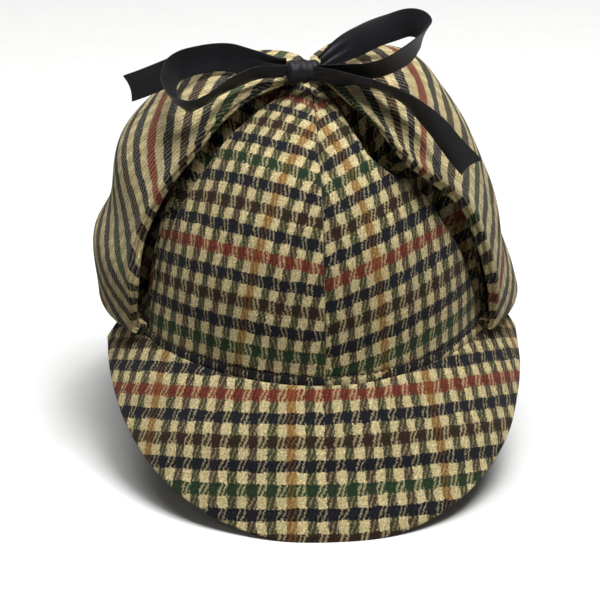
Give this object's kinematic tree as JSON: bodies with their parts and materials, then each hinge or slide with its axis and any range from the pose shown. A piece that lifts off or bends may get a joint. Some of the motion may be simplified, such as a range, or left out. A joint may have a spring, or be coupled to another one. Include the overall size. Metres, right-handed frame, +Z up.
{
  "type": "deerstalker hat",
  "caption": "Tweed deerstalker hat with a panelled round crown, front and back peaks, and ear flaps folded up and tied over the top with a black ribbon bow.",
  "frame": {"origin": "middle of the hat's footprint, on the floor the two peaks rest on", "axes": "+Z is up, +Y runs from the back peak to the front peak, and +X is the wearer's right"},
  "size_m": [0.1952, 0.2832, 0.1989],
  "materials": {
    "tweed": "brushed wool houndstooth check",
    "ribbon": "black satin"
  },
  "bodies": {
    "root": {"crown_panel_back_right": "tweed", "crown_panel_right": "tweed", "crown_panel_front_right": "tweed", "crown_panel_front_left": "tweed", "crown_panel_left": "tweed", "crown_panel_back_left": "tweed", "back_peak": "tweed", "front_peak": "tweed", "left_ear_flap": "tweed", "right_ear_flap": "tweed", "bow_knot": "ribbon", "left_bow_loop": "ribbon", "right_bow_loop": "ribbon", "left_bow_tail": "ribbon", "right_bow_tail": "ribbon"}
  },
  "joints": []
}
